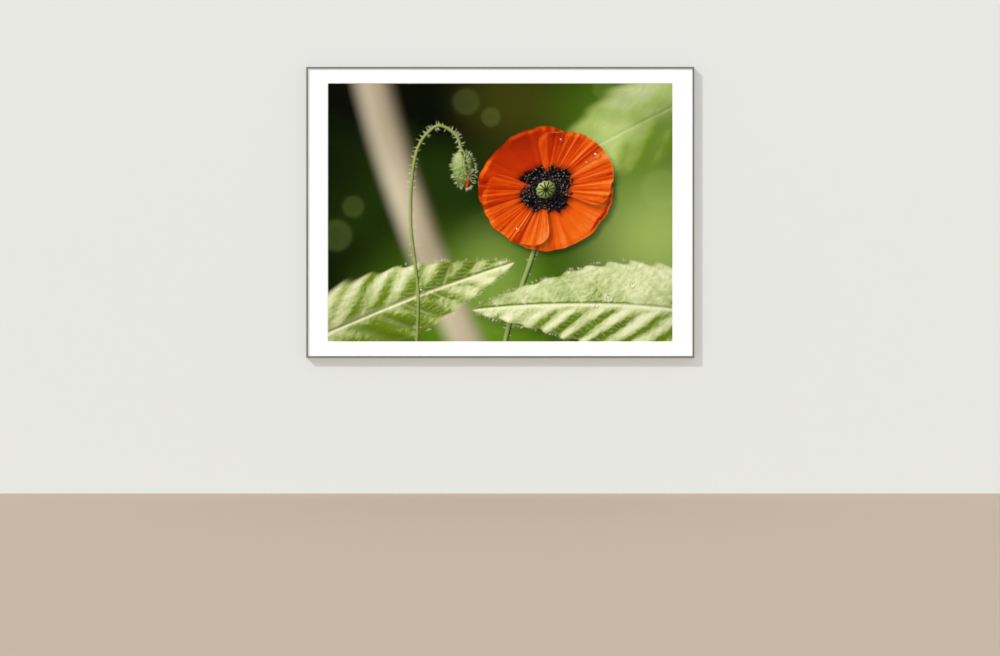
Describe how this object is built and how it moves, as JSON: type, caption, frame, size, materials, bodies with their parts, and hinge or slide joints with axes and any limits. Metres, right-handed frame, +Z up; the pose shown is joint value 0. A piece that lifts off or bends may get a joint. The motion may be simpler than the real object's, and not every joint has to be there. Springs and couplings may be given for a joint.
{
  "type": "framed wall print",
  "caption": "Landscape print behind clear glazing and a wide white bevel-cut mat, in a slim satin pewter aluminium frame with a hanging bar on the back.",
  "frame": {"origin": "middle of the hanging bar's wall face, in the wall's plane", "axes": "+X to the right as the picture is looked at, along the frame's width; +Y into the wall, square to the frame; +Z up, along the frame's height"},
  "size_m": [1.016, 0.023, 0.762],
  "materials": {
    "pewter_frame": "satin pewter anodised extrusion",
    "glazing": "clear low-reflection acrylic sheet",
    "mat_board": "white cotton mat board, matt and lightly grained, with a bevel-cut core",
    "print": null,
    "back_board": "brown hardboard, with its mesh-marked side out",
    "hanging_bar": "mill-finish extrusion",
    "fixings": "bright zinc-plated steel",
    "spring_clips": "blued spring steel",
    "bumpers": "soft translucent rubber"
  },
  "bodies": {
    "root": {"rail_top": "pewter_frame", "rail_right": "pewter_frame", "rail_bottom": "pewter_frame", "rail_left": "pewter_frame", "glazing": "glazing", "mat": "mat_board", "print": "print", "back_board": "back_board", "plate_top_left": "fixings", "plate_top_left_screw_1": "fixings", "plate_top_left_screw_2": "fixings", "plate_top_right": "fixings", "plate_top_right_screw_1": "fixings", "plate_top_right_screw_2": "fixings", "plate_bottom_left": "fixings", "plate_bottom_left_screw_1": "fixings", "plate_bottom_left_screw_2": "fixings", "plate_bottom_right": "fixings", "plate_bottom_right_screw_1": "fixings", "plate_bottom_right_screw_2": "fixings", "hanging_bar": "hanging_bar", "bar_screw_1": "fixings", "bar_screw_2": "fixings", "bar_screw_3": "fixings", "bar_screw_4": "fixings", "clip_1": "spring_clips", "clip_2": "spring_clips", "clip_3": "spring_clips", "clip_4": "spring_clips", "clip_5": "spring_clips", "clip_6": "spring_clips", "clip_7": "spring_clips", "clip_8": "spring_clips", "clip_9": "spring_clips", "clip_10": "spring_clips", "clip_11": "spring_clips", "clip_12": "spring_clips", "bumper_left": "bumpers", "bumper_right": "bumpers"}
  },
  "joints": []
}
